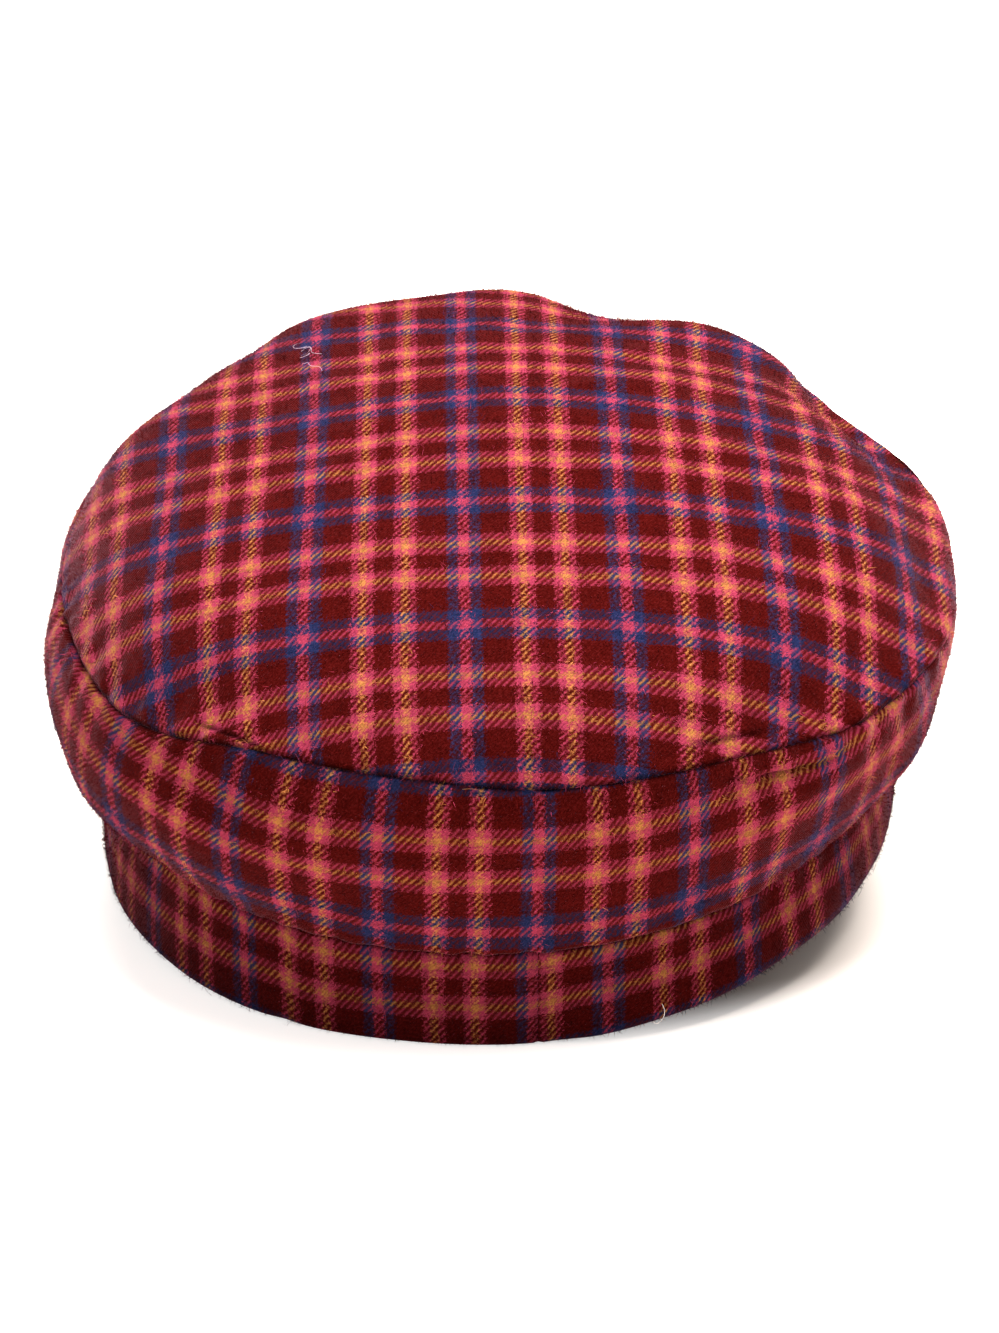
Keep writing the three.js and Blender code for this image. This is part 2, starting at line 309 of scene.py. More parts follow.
skin = {
    "lean": 6.3,  # of the axis toward the back, degrees
    "heart": (0, 0.0197, 0.0612),  # where the rays meet on the axis
    "columns": 540,
    "fineRows": 96,
    "reach": 0.4,
    "softenAcross": 3,
    "softenAlong": 3,
    "ditch": 1.7,  # half of the CAD seam's ditch, degrees
    "slope": 0.6,  # the stretch beside the ditch that gives its slope, degrees
    "step": 0.25,
    "halvings": 22,
    # Each edge is looked for between a pitch on its wall and one past it, in degrees
    "tipLow": (60, -25),
    "sideHigh": (-8, 40),
    "sideLow": (-4, -45),
    "bandHigh": (-4, 8),  # from the side's lower edge
    "bandLow": (-4, -80),  # the first from the band's upper edge
}
# How far up the crown the tip's seam lies from the CAD one: a bearing, and millimetres
seamMoves = [
    (-80, 0),
    (-66, -2.2),
    (-60, -3.4),
    (-54, -2.9),
    (-48, -2.1),
    (-42, -1.1),
    (-36, 0.9),
    (-30, 2.3),
    (-24, 3.2),
    (-14, 3.6),
    (-6, 1.9),
    (0, 0.9),
    (12, 0.8),
    (24, 0.5),
    (32, -1.0),
    (42, -4.2),
    (50, -4.9),
    (58, -5.4),
    (66, -6.0),
    (76, -7.5),
    (90, -8.5),
    (106, -8.0),
    (120, -4.0),
    (140, 0),
]
wallNodes = ["headband", "side_panel_back", "side_panel_front", "crown_tip"]
sideNodes = {"side_panel_back", "side_panel_front"}
heart = Vector(skin["heart"])
columns = skin["columns"]
bearings = np.arange(columns) * 360 / columns
mmPerDegree = 1.7  # along the seams


def joinedWalls():
    spots, faces, owners = [], [], []
    for name in wallNodes:
        mesh = frame["nodes"][name].data
        faces += [[len(spots) + index for index in face.vertices] for face in mesh.polygons]
        owners += [name] * len(mesh.polygons)
        spots += [vertex.co.copy() for vertex in mesh.vertices]
    return BVHTree.FromPolygons(spots, faces), owners


wallTree, wallOwners = joinedWalls()


def direction(bearing, pitch):
    b, p, lean = math.radians(bearing), math.radians(pitch), math.radians(skin["lean"])
    x, y, z = -math.sin(b) * math.cos(p), math.cos(b) * math.cos(p), math.sin(p)
    return Vector((x, y * math.cos(lean) + z * math.sin(lean), z * math.cos(lean) - y * math.sin(lean)))


def hit(bearing, pitch):
    away = direction(bearing, pitch)
    spot, _, face, _ = wallTree.ray_cast(heart + away * skin["reach"], -away, skin["reach"])
    owner = wallOwners[face] if spot else None
    return spot, owner


def bridged(bearing, pitch, ditch):
    # The skin's place, carried smoothly over a ditch by the slopes on both sides of it
    wide, slope = skin["ditch"], skin["slope"]
    if ditch is None or abs(pitch - ditch) >= wide:
        return hit(bearing, pitch)[0]
    turns = (-wide - slope, -wide, wide, wide + slope)
    before, low, high, after = ((hit(bearing, ditch + turn)[0] - heart).length for turn in turns)
    rise = (low - before) / slope * wide * 2
    fall = (after - high) / slope * wide * 2
    t = (pitch - ditch + wide) / (2 * wide)
    s = 1 - t
    length = low * s * s * (1 + 2 * t) + high * t * t * (1 + 2 * s) + rise * t * s * s - fall * t * t * s
    return heart + direction(bearing, pitch) * length


def edgePitch(bearing, inside, outside, owners):
    for _ in range(skin["halvings"]):
        middle = (inside + outside) / 2
        if hit(bearing, middle)[1] in owners:
            inside = middle
        else:
            outside = middle
    return inside


def arcLengths(grid):
    steps = np.sqrt((np.diff(grid, axis=0) ** 2).sum(-1))
    return np.concatenate([np.zeros((1, grid.shape[1])), np.cumsum(steps, axis=0)])


def respaced(grid, shares):
    lengths = arcLengths(grid)
    made = np.empty((len(shares), grid.shape[1], 3))
    for column in range(grid.shape[1]):
        spots = shares * lengths[-1, column]
        for axis in range(3):
            made[:, column, axis] = np.interp(spots, lengths[:, column], grid[:, column, axis])
    return made


def softened(grid):
    for _ in range(2 * skin["softenAcross"] ** 2):
        grid = grid / 2 + (np.roll(grid, 1, 1) + np.roll(grid, -1, 1)) / 4
    for _ in range(2 * skin["softenAlong"] ** 2):
        grid[1:-1] = grid[1:-1] / 2 + (grid[:-2] + grid[2:]) / 4
    return grid


def sampledZone(lowPitches, highPitches, ditches):
    grid = np.empty((skin["fineRows"], columns, 3))
    shares = np.linspace(0, 1, skin["fineRows"])
    for column, bearing in enumerate(bearings):
        low, high = lowPitches[column], highPitches[column]
        for row, share in enumerate(shares):
            pitch = low + (high - low) * share
            grid[row, column] = bridged(bearing, pitch, ditches[column]) or grid[row - 1, column]
    return respaced(grid, shares)


def signedBearings(middle=0):
    return (bearings - middle + 180) % 360 - 180


def movedPitch(bearing, pitch, move):
    # A step of so many mm along the skin, up for a positive move
    step = math.copysign(skin["step"], move)
    spot = bridged(bearing, pitch, pitch)
    made, left = pitch, abs(move) * mm
    while left > 0:
        made += step
        ahead = bridged(bearing, made, pitch)
        gone = (ahead - spot).length
        spot, left = ahead, left - gone
    return made + step * left / gone if move else pitch


def sampledSkin():
    tipLow = [edgePitch(b, *skin["tipLow"], {"crown_tip"}) for b in bearings]
    sideHigh = [edgePitch(b, *skin["sideHigh"], sideNodes) for b in bearings]
    sideLow = [edgePitch(b, *skin["sideLow"], sideNodes) for b in bearings]
    under, over = skin["bandHigh"]
    bandHigh = [edgePitch(b, low + under, low + over, {"headband"}) for b, low in zip(bearings, sideLow)]
    under, past = skin["bandLow"]
    bandLow = [edgePitch(b, high + under, past, {"headband"}) for b, high in zip(bearings, bandHigh)]
    ditches = [(low + high) / 2 for low, high in zip(sideHigh, tipLow)]
    moves = np.interp(signedBearings(), *zip(*seamMoves))
    seam = [movedPitch(*place) for place in zip(bearings, ditches, moves)]
    band = sampledZone(bandLow, bandHigh, [None] * columns)
    side = sampledZone(sideLow, seam, ditches)
    tip = sampledZone(seam, [90] * columns, ditches)
    for below, above in ((band, side), (side, tip)):
        shared = (below[-1] + above[0]) / 2
        below[-1] = shared
        above[0] = shared
    return {"band": softened(band), "side": softened(side), "tip": softened(tip)}


skins = sampledSkin()
print("skin sampled")


# Relief: seam grooves, the rolls and puckers beside them, folds, and the cloth's slow waves,
# and painted shade down in the seams and folds. Sizes are in mm.

relief = {
    # Each seam's groove, the fill beside it, its puckers, and the painted shade down in it
    "tipSeam": {
        "depth": 0.8, "width": 0.6, "fill": 0.1, "fillWidth": 2.4,
        "pucker": 0.5, "reach": 7.0, "dark": 1.0,
    },
    "bandSeam": {
        "depth": 0.7, "width": 0.7, "fill": 0.9, "fillWidth": 3.5,
        "pucker": 0.3, "reach": 5.0, "dark": 0.8,
    },
    "uprightSeam": {
        "depth": 0.3, "width": 0.6, "fill": 0.1, "fillWidth": 2.5,
        "pucker": 0.0, "reach": 1.0, "dark": 0.35,
    },
    # over what width the painted shade beside a seam reaches, mm
    "paintedShadeWidth": 1.0,
    "hemRadius": 1.5,
    "fadeFrom": {"left": 78, "right": 50},
    "fadeOver": 24,
    "fadeKeep": 0.15,
    "waves": {"band": 0.12, "side": 0.35, "tip": 0.3},
    "waveSeeds": {"band": 5, "side": 6, "tip": 7},
    "waveLength": (30, 90),
    "waveCount": 12,
    "waveSlant": 0.6,
    "waveEase": 12,
    "tipEase": 60,
    "puckerSeed": 8,
    "puckerLength": (6, 15),
    "foldEase": 0.3,
    "tuckEase": 0.04,
    "ridgeAway": 2.0,  # above the fold's line, in widths of the fold
    "ridgeWidth": 1.4,
}
panelSeams = [110, 250]
backSeam = -1.33
# Folds run between two places, each a bearing and a height above the panel's lower seam.
# The cloth is shifted below the line, more and more toward its second end.
folds = [
    {
        "zone": "tip", "ends": ((-47, 4.4), (-35.6, 1.0)),
        "depth": 0.7, "ridge": 0.05, "width": 0.5, "shift": 3.0,
    },
    {
        "zone": "tip", "ends": ((16, 5.0), (30, 4.2)),
        "depth": 0.35, "ridge": 0.25, "width": 0.8, "shift": 0.0,
    },
    {
        "zone": "side", "ends": ((21, 41.5), (25, 37.8)),
        "depth": 0.9, "ridge": 0.25, "width": 0.6, "shift": 0.0,
    },
    {
        "zone": "side", "ends": ((23, 38.0), (40, 38.6)),
        "depth": 1.4, "ridge": 0.35, "width": 0.6, "shift": 0.0,
    },
]


def smoothStep(value):
    value = np.clip(value, 0, 1)
    return value * value * (3 - 2 * value)


def farFade():
    # The seams are pressed flatter toward the front of the crown
    turn = signedBearings()
    start = np.where(turn < 0, relief["fadeFrom"]["left"], relief["fadeFrom"]["right"])
    past = smoothStep((np.abs(turn) - start) / relief["fadeOver"])
    return 1 - (1 - relief["fadeKeep"]) * past[None, :]


def ringWave(seed, lengths):
    # A smooth seeded wave that closes round the cap, and its slant up the panel
    chance = np.random.default_rng(seed)
    count, girth = relief["waveCount"], 360 * mmPerDegree
    turns = chance.integers(int(girth / lengths[1]), int(girth / lengths[0]) + 1, count)
    phases = chance.uniform(0, 2 * math.pi, count)
    slants = chance.normal(0, relief["waveSlant"], count) * turns / girth * 2 * math.pi

    def wave(height):
        angle = np.radians(bearings)[None, :, None] * turns + phases + height[..., None] * slants
        return np.sin(angle).sum(-1) / math.sqrt(count)

    return wave


def seamRelief(seam, distance, wave):
    groove = np.exp(-(distance / seam["width"]) ** 2) * farFade()
    fill = np.exp(-(distance / seam["fillWidth"]) ** 2)
    pucker = wave * np.exp(-distance / seam["reach"]) * (1 - groove) * farFade()
    # Painted shade down in the seam, darkest on its line
    dark = seam["dark"] * np.exp(-(distance / relief["paintedShadeWidth"]) ** 2) * farFade()
    return seam["fill"] * fill + seam["pucker"] * pucker - seam["depth"] * groove, dark


def uprightRelief(bearing, height):
    away = np.abs(signedBearings(bearing)) * mmPerDegree
    return seamRelief(relief["uprightSeam"], np.broadcast_to(away, height.shape), 0)


def foldPlace(fold, height):
    # Along the fold from 0 to 1, and the distance above it in mm
    first, second = (np.array([bearing * mmPerDegree, up]) for bearing, up in fold["ends"])
    run = second - first
    length = math.hypot(*run)
    across = np.broadcast_to(signedBearings()[None, :] * mmPerDegree, height.shape) - first[0]
    up = height - first[1]
    along = (across * run[0] + up * run[1]) / length ** 2
    above = (up * run[0] - across * run[1]) / length * np.sign(run[0])
    return along, above


def foldRelief(fold, height):
    along, above = foldPlace(fold, height)
    ease = relief["tuckEase"] if fold["shift"] else relief["foldEase"]
    fade = smoothStep(along / relief["foldEase"]) * smoothStep((1 - along) / ease)
    away, width = (relief[key] * fold["width"] for key in ("ridgeAway", "ridgeWidth"))
    crease = fade * np.exp(-(above / fold["width"]) ** 2)
    ridge = fade * np.exp(-((above - away) / width) ** 2)
    # The crease also gives the painted shade down in the fold
    return fold["ridge"] * ridge - fold["depth"] * crease, crease


def rowShares(length, fine, coarse, reachLow, reachHigh):
    # Places along a meridian, closer together within reach of a seam
    spots = [0.0]
    while spots[-1] < 1:
        s = spots[-1] * length
        near = s < reachLow or length - s < reachHigh
        spots.append(spots[-1] + (fine if near else coarse) / length)
    return np.array(spots) / spots[-1]


def zoneRelief(zone, low, high):
    slow = ringWave(relief["waveSeeds"][zone], relief["waveLength"])(low)
    upperEase = relief["tipEase"] if zone == "tip" else relief["waveEase"]
    ease = 1 if zone == "band" else smoothStep(low / relief["waveEase"]) * smoothStep(high / upperEase)
    height = relief["waves"][zone] * slow * ease
    # The painted shade down in seams and folds, the darkest where they meet
    hollow = np.zeros_like(height)
    pucker = ringWave(relief["puckerSeed"], relief["puckerLength"])
    parts = []
    if zone == "band":
        parts.append(seamRelief(relief["bandSeam"], high, pucker(high)))
        parts.append(uprightRelief(backSeam, low))
        past = np.clip(relief["hemRadius"] - low, 0, None)
        height = height - (relief["hemRadius"] - np.sqrt(relief["hemRadius"] ** 2 - past ** 2))
    if zone == "side":
        parts.append(seamRelief(relief["bandSeam"], low, pucker(low)))
        parts.append(seamRelief(relief["tipSeam"], high, pucker(high)))
        parts += [uprightRelief(seam, low) for seam in panelSeams]
    if zone == "tip":
        parts.append(seamRelief(relief["tipSeam"], low, pucker(low)))
    parts += [foldRelief(fold, low) for fold in folds if fold["zone"] == zone]
    for more, dark in parts:
        height = height + more
        hollow = np.maximum(hollow, dark)
    return height, hollow


def ringNormals(grid):
    along = np.gradient(grid, axis=0)
    around = np.roll(grid, -1, 1) - np.roll(grid, 1, 1)
    normal = np.cross(around, along)
    return normal / np.maximum(np.sqrt((normal ** 2).sum(-1, keepdims=True)), 1e-12)


# Rows' spacing near a seam and elsewhere, and how far "near" reaches from the lower and the
# upper seam, in mm
rowSpacing = {
    "band": (0.4, 1.2, 4, 3),
    "side": (0.4, 1.4, 3, 4),
    "tip": (0.4, 1.7, 6, 0),
}


def shapedZones():
    made, smooth = {}, []
    for zone, grid in skins.items():
        shares = rowShares(arcLengths(grid)[-1].mean() / mm, *rowSpacing[zone])
        outer = respaced(grid, shares[:-1] if zone == "tip" else shares)
        low = arcLengths(outer) / mm
        made[zone] = {"low": low, "high": arcLengths(grid)[-1] / mm - low, "rows": len(outer)}
        smooth.append(outer if zone == "band" else outer[1:])
    whole = np.concatenate(smooth)
    normals = ringNormals(whole)
    first = 0
    for zone in made.values():
        zone["outer"] = whole[first:first + zone["rows"]]
        zone["normals"] = normals[first:first + zone["rows"]]
        first += zone["rows"] - 1
    for name, zone in made.items():
        height, zone["hollow"] = zoneRelief(name, zone["low"], zone["high"])
        zone["height"] = height[..., None] * mm
    # Neighbours meet on one line, at the mean of their reliefs
    for below, above in (("band", "side"), ("side", "tip")):
        shared = (made[below]["height"][-1] + made[above]["height"][0]) / 2
        made[below]["height"][-1] = shared
        made[above]["height"][0] = shared
    for zone in made.values():
        zone["outer"] = zone["outer"] + zone["normals"] * zone["height"]
    return made


# The band's hem stands a little off the floor at the right, and bows out there

hem = {
    "lift": 2.0,
    "bow": 2.2,
    "from": (-2, 16),  # the bearings where it starts and is full
    "to": (44, 70),  # and where it eases and has ended
    "reach": 20,  # mm up the band
}


def liftHem(zone):
    (start, full), (ease, end) = hem["from"], hem["to"]
    turn = signedBearings()[None, :]
    share = smoothStep((turn - start) / (full - start)) * smoothStep((end - turn) / (end - ease))
    share = share * (1 - smoothStep(zone["low"] / hem["reach"]))
    zone["outer"] = zone["outer"] + zone["normals"] * (share * hem["bow"] * mm)[..., None]
    zone["outer"][..., 2] += share * hem["lift"] * mm


# Soft bulges and dips of the crown: where, how far out, and over what reach, all in mm

bulges = [
    {"place": (-20, -58, 113), "out": 1.6, "reach": 13},
    {"place": (2, -56, 119), "out": -1.4, "reach": 13},
    {"place": (-74, -39, 97), "out": 3.2, "reach": 11},
    {"place": (-99, -9, 84), "out": -2.2, "reach": 11},
    {"place": (-103, 15, 78), "out": 3.5, "reach": 15},
    {"place": (50, -47, 109), "out": -1.8, "reach": 10},
    {"place": (71, -42, 97), "out": -1.8, "reach": 13},
    {"place": (101, 25, 43), "out": -1.5, "reach": 12},
    {"place": (-86, 73, 47), "out": 1.8, "reach": 12},
]


def bulge(zone):
    spots, moved = zone["outer"] / mm, 0
    for soft in bulges:
        away = ((spots - np.array(soft["place"])) ** 2).sum(-1) / soft["reach"] ** 2
        moved = moved + soft["out"] * np.exp(-away)
    zone["outer"] = zone["outer"] + zone["normals"] * (moved * mm)[..., None]


zones = shapedZones()
liftHem(zones["band"])
for shaped in zones.values():
    bulge(shaped)
print("relief laid", {name: zone["rows"] for name, zone in zones.items()})


# Walls: an outer and an inner sheet of quads, closed along their rims

def makeWall(name, outer, inner, flat, hollow, ring=False, pole=False, softLow=False):
    rows, across = outer.shape[:2]
    around = across - 1 if ring else across
    under = rows * around
    spots = np.concatenate([outer[:, :around].reshape(-1, 3), inner[:, :around].reshape(-1, 3)])
    # The painted shade of seams and folds, for both sheets
    dark = np.tile(hollow[:, :around].ravel(), 2)
    faces, corners, rimFaces = [], [], []
    for r in range(rows - 1):
        for c in range(across - 1):
            cells = [(r, c), (r, c + 1), (r + 1, c + 1), (r + 1, c)]
            face = [row * around + column % around for row, column in cells]
            faces += [face, [under + spot for spot in reversed(face)]]
            corners += cells + cells[::-1]

    def rim(cells, soft=False):
        for first, second in zip(cells, cells[1:]):
            a, b = (row * around + column % around for row, column in (first, second))
            if not soft:
                rimFaces.append(len(faces))
            faces.append([b, a, under + a, under + b])
            corners.extend([second, first, first, second])

    rim([(0, c) for c in range(across)], softLow)
    if not pole:
        rim([(rows - 1, c) for c in reversed(range(across))])
    if not ring:
        rim([(r, 0) for r in reversed(range(rows))])
        rim([(r, across - 1) for r in range(rows)])
    values = np.array([flat[cell] for cell in corners])
    if pole:
        top, bottom = len(spots), len(spots) + 1
        spots = np.concatenate([spots, outer[-1].mean(0)[None], inner[-1].mean(0)[None]])
        dark = np.append(dark, [0, 0])
        last, middle, fan = (rows - 1) * around, flat[-1].mean(0), []
        for c in range(around):
            d = (c + 1) % around
            faces += [[last + c, last + d, top], [under + last + d, under + last + c, bottom]]
            fan += [flat[-1, c], flat[-1, c + 1], middle, flat[-1, c + 1], flat[-1, c], middle]
        values = np.concatenate([values, fan])
    mesh = bpy.data.meshes.new(name)
    mesh.from_pydata(spots.tolist(), [], faces)
    mesh.uv_layers.new(name="cloth").data.foreach_set("uv", values.ravel())
    mesh.attributes.new("hollow", "FLOAT", "POINT").data.foreach_set("value", dark)
    mesh.shade_smooth()
    for face in rimFaces:
        mesh.polygons[face].use_smooth = False
    piece = bpy.data.objects.new(name, mesh)
    scene.collection.objects.link(piece)
    return piece


def dress(piece, material, node=None):
    piece.data.materials.clear()
    piece.data.materials.append(material)
    if node:
        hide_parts(node)
    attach(piece, "root")


def closedRing(grid):
    return np.concatenate([grid, grid[:, :1]], axis=1)


def ringLength(row):
    steps = np.sqrt(((np.roll(row, -1, 0) - row) ** 2).sum(-1)) / mm
    return np.concatenate([[0], np.cumsum(steps)])


def foldShift(zone, height):
    moved = np.zeros_like(height)
    for fold in folds:
        if fold["zone"] == zone and fold["shift"]:
            along, above = foldPlace(fold, height)
            moved += fold["shift"] * np.where((along < 1) & (above < 0), np.clip(along, 0, 1), 0)
    return moved


# Crown tip: cut as one round piece. Its cloth was eased and steamed over the crown, which
# the ease terms bend the plaid by; x and y are the flat place in ease units.

tip = {
    "thickness": 2 * mm,
    "turn": -5.5,
    "across": 7.6,
    "along": 37.9,
    "easeUnit": 100,  # mm
    "easeAcross": {"xy": 3.35, "xyy": -5.0, "xxx": -1.7, "yy": -0.37},
    "easeAlong": {"xx": -22.44, "xxy": -19.27, "yy": -8.64, "yyy": -0.64, "xy": -1.35},
    "flat": (0.226, 0.211),
    "area": 0.0354,
}


def eased(terms, x, y):
    return sum(size * x ** term.count("x") * y ** term.count("y") for term, size in terms.items())


def makeTip():
    zone = zones["tip"]
    toPole = zone["high"]
    b = np.radians(bearings)[None, :]
    across, along = toPole * np.sin(b), -toPole * np.cos(b)
    turn = math.radians(tip["turn"])
    u = across * math.cos(turn) + along * math.sin(turn)
    v = along * math.cos(turn) - across * math.sin(turn)
    x, y = u / tip["easeUnit"], v / tip["easeUnit"]
    u = u + eased(tip["easeAcross"], x, y) + tip["across"] + foldShift("tip", zone["low"])
    v = v + eased(tip["easeAlong"], x, y) + tip["along"]
    flat = closedRing(np.stack([u, v], -1))
    inner = zone["outer"] - zone["normals"] * tip["thickness"]
    zone["flat"] = flat
    outer, inner, hollow = (closedRing(grid) for grid in (zone["outer"], inner, zone["hollow"]))
    piece = makeWall("tip_cloth", outer, inner, flat, hollow, ring=True, pole=True)
    dress(piece, woolTop, "crown_tip")


# Side of the crown: a long back panel and a short front one

sides = {
    "thickness": 2 * mm,
    "seamColumn": 165,
    "flare": 0.22,
    "across": -2.6,
    "along": 7.2,
    "back": {"flat": (0.384, 0.085), "area": 0.0174},
    "front": {"flat": (0.253, 0.089), "area": 0.0152},
}


def makeSidePanel(part, reach, along, radius):
    zone = zones["side"]
    reach = [column % columns for column in reach]
    angle = along[reach][None, :] / radius
    far = radius + zone["low"][:, reach]
    u = far * np.sin(angle) - sides["across"]
    v = far * np.cos(angle) - radius - sides["along"]
    flat = np.stack([u, v], -1)
    zone["flat"][:, reach] = flat
    outer = zone["outer"][:, reach]
    inner = outer - zone["normals"][:, reach] * sides["thickness"]
    piece = makeWall("side_cloth_" + part, outer, inner, flat, zone["hollow"][:, reach])
    dress(piece, woolSide, "side_panel_" + part)


def makeSides():
    zone = zones["side"]
    zone["flat"] = np.zeros((*zone["low"].shape, 2))
    around = ringLength(zone["outer"][0])
    place, halfway = around[:-1], around[-1] / 2
    radius = around[-1] / (2 * math.pi) / sides["flare"]
    seam = sides["seamColumn"]
    fromBack = np.where(place > halfway, place - around[-1], place)
    makeSidePanel("back", range(-seam, seam + 1), fromBack, radius)
    makeSidePanel("front", range(seam, columns - seam + 1), place - halfway, radius)


# Headband: a straight strip, joined at the centre back

bandStrip = {
    "thickness": 3 * mm,
    "across": -15.5,
    "easeAcross": 0.9975,
    "along": 1.6,
    "ease": 1.06,
    "seamColumn": -2,
    "flat": (0.598, 0.030),
    "area": 0.0153,
}


def makeBand():
    zone = zones["band"]
    thickness = bandStrip["thickness"] + 2 * zone["height"].clip(None, 0)
    order = (np.arange(columns + 1) + bandStrip["seamColumn"]) % columns
    around = ringLength(skins["band"][skin["fineRows"] // 2, order[:-1]])
    print("band length", round(around[-1], 1), "height", round(zone["low"][-1].mean(), 1))
    u = np.broadcast_to(around * bandStrip["easeAcross"] + bandStrip["across"], (zone["rows"], columns + 1))
    v = zone["low"][:, order] * bandStrip["ease"] + bandStrip["along"]
    flat = np.stack([u, v], -1)
    zone["flat"] = np.empty((zone["rows"], columns, 2))
    zone["flat"][:, order[:-1]] = flat[:, :-1]
    inner = zone["outer"] - zone["normals"] * thickness
    outer, inner, hollow = (grid[:, order] for grid in (zone["outer"], inner, zone["hollow"]))
    piece = makeWall("band_cloth", outer, inner, flat, hollow, ring=True, softLow=True)
    dress(piece, woolBand, "headband")


# Peak: the CAD node, smoothed and covered in the same cloth

peakCover = {
    "weld": 0.01,  # mm
    "sewnFrom": 6.0,  # mm from the band's face
    "sewnFull": 1.0,
    "tuck": 2.0,
    "hemRow": 3,
    "smoothing": 2,
    "slope": 0.4,  # how much the peak's fall lengthens its cloth
}


def sewnIn(spots):
    # The rear edge goes under the band's rounded hem
    face, out = (zones["band"][key][peakCover["hemRow"]] for key in ("outer", "normals"))
    away = np.sqrt(((spots[:, None, :2] - face[None, :, :2]) ** 2).sum(-1)) / mm
    sewnOver = peakCover["sewnFrom"] - peakCover["sewnFull"]
    share = smoothStep((peakCover["sewnFrom"] - away.min(1)) / sewnOver)
    return spots - out[away.argmin(1)] * (share * peakCover["tuck"] * mm)[:, None] * (1, 1, 0)


def makePeak():
    bpy.ops.object.select_all(action="DESELECT")
    piece = frame["nodes"]["peak"].copy()
    piece.data = piece.data.copy()
    piece.name = "peak_cloth"
    scene.collection.objects.link(piece)
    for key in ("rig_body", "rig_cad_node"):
        if key in piece:
            del piece[key]
    piece.parent = None
    bpy.context.view_layer.objects.active = piece
    piece.select_set(True)
    bpy.ops.object.mode_set(mode="EDIT")
    bpy.ops.mesh.select_all(action="SELECT")
    bpy.ops.mesh.remove_doubles(threshold=peakCover["weld"] * mm)
    bpy.ops.mesh.tris_convert_to_quads()
    bpy.ops.object.mode_set(mode="OBJECT")
    smooth = piece.modifiers.new("smooth", "SUBSURF")
    smooth.levels = smooth.render_levels = peakCover["smoothing"]
    bpy.ops.object.modifier_apply(modifier="smooth")
    mesh = piece.data
    spots = np.empty(len(mesh.vertices) * 3)
    mesh.vertices.foreach_get("co", spots)
    mesh.vertices.foreach_set("co", sewnIn(spots.reshape(-1, 3)).ravel())
    while mesh.uv_layers:
        mesh.uv_layers.remove(mesh.uv_layers[0])
    places = mesh.uv_layers.new(name="cloth")
    for loop, place in zip(mesh.loops, places.data):
        spot = mesh.vertices[loop.vertex_index].co / mm
        place.uv = (-spot.x, -spot.y - spot.z * peakCover["slope"])
    mesh.shade_smooth()
    dress(piece, woolPeak, "peak")


# Hairs and fibres: many small closed meshes in one piece, all kept just over the floor

overFloor = 0.2 * mm
offStrands = (0.31, 0.22, 0.92)  # a slanting way, which the strands' sides are turned from


def looseMesh(name, spots, faces, flats, hollow):
    mesh = bpy.data.meshes.new(name)
    mesh.from_pydata(spots.reshape(-1, 3).tolist(), [], faces)
    mesh.uv_layers.new(name="cloth").data.foreach_set("uv", flats.ravel())
    mesh.attributes.new("hollow", "FLOAT", "POINT").data.foreach_set("value", hollow)
    piece = bpy.data.objects.new(name, mesh)
    scene.collection.objects.link(piece)
    return piece


# Fuzz: short hairs of the fulled wool, each a thin spike with the colour of the cloth under it, lightened
# on the crown and side as painted light

fuzz = {
    "hairs": {"tip": 48000, "side": 40000, "band": 20000},
    "length": (0.5, 1.8),
    "thickness": 0.075,
    "root": 0.1,
    "stand": 0.7,
    "slant": (0.3, 1),
    "spread": 0.3,  # how far along the cloth a hair's colour comes from, mm
    "seed": 41,
}


def makeFuzz(name, material):
    zone = zones[name]
    chance = np.random.default_rng(fuzz["seed"] + len(name))
    grid = zone["outer"]
    right = np.roll(grid, -1, 1)[:-1] - grid[:-1]
    up = grid[1:] - grid[:-1]
    area = np.sqrt((np.cross(right, up) ** 2).sum(-1)).ravel()
    count = fuzz["hairs"][name]
    picks = chance.choice(len(area), count, p=area / area.sum())
    r, c = np.divmod(picks, columns)
    s, t = chance.random((2, count, 1))
    normal = zone["normals"][r, c]
    root = grid[r, c] + right[r, c] * s + up[r, c] * t - normal * fuzz["root"] * mm
    lean = np.cross(normal, chance.normal(size=(count, 3)))
    lean /= np.sqrt((lean ** 2).sum(-1, keepdims=True))
    tall = chance.uniform(*fuzz["length"], (count, 1)) * mm
    slant = chance.uniform(*fuzz["slant"], (count, 1))
    end = root + (normal * fuzz["stand"] + lean * slant) * tall
    ahead = lean * fuzz["thickness"] * mm
    aside = np.cross(normal, lean) * fuzz["thickness"] * mm
    spots = np.stack([root + ahead, root - ahead / 2 + aside, root - ahead / 2 - aside, end], 1)
    spots[..., 2] = spots[..., 2].clip(overFloor)
    first = np.arange(count)[:, None, None] * 4
    faces = (first + np.array([[0, 2, 1], [0, 1, 3], [1, 2, 3], [2, 0, 3]])).reshape(-1, 3)
    places = zone["flat"][r, c] + chance.normal(0, fuzz["spread"], (count, 2))
    # The hairs take the painted shade of the seam or fold they stand in
    hollow = np.repeat(zone["hollow"][r, c], 4)
    piece = looseMesh("fuzz_" + name, spots, faces.tolist(), np.repeat(places, 12, axis=0), hollow)
    dress(piece, material)


# Stray fibres, some pale lint on the crown, and the end of a sewing thread at the hem.
# A path runs from its root in mm: right round the cap, up the panel, and out of the cloth.

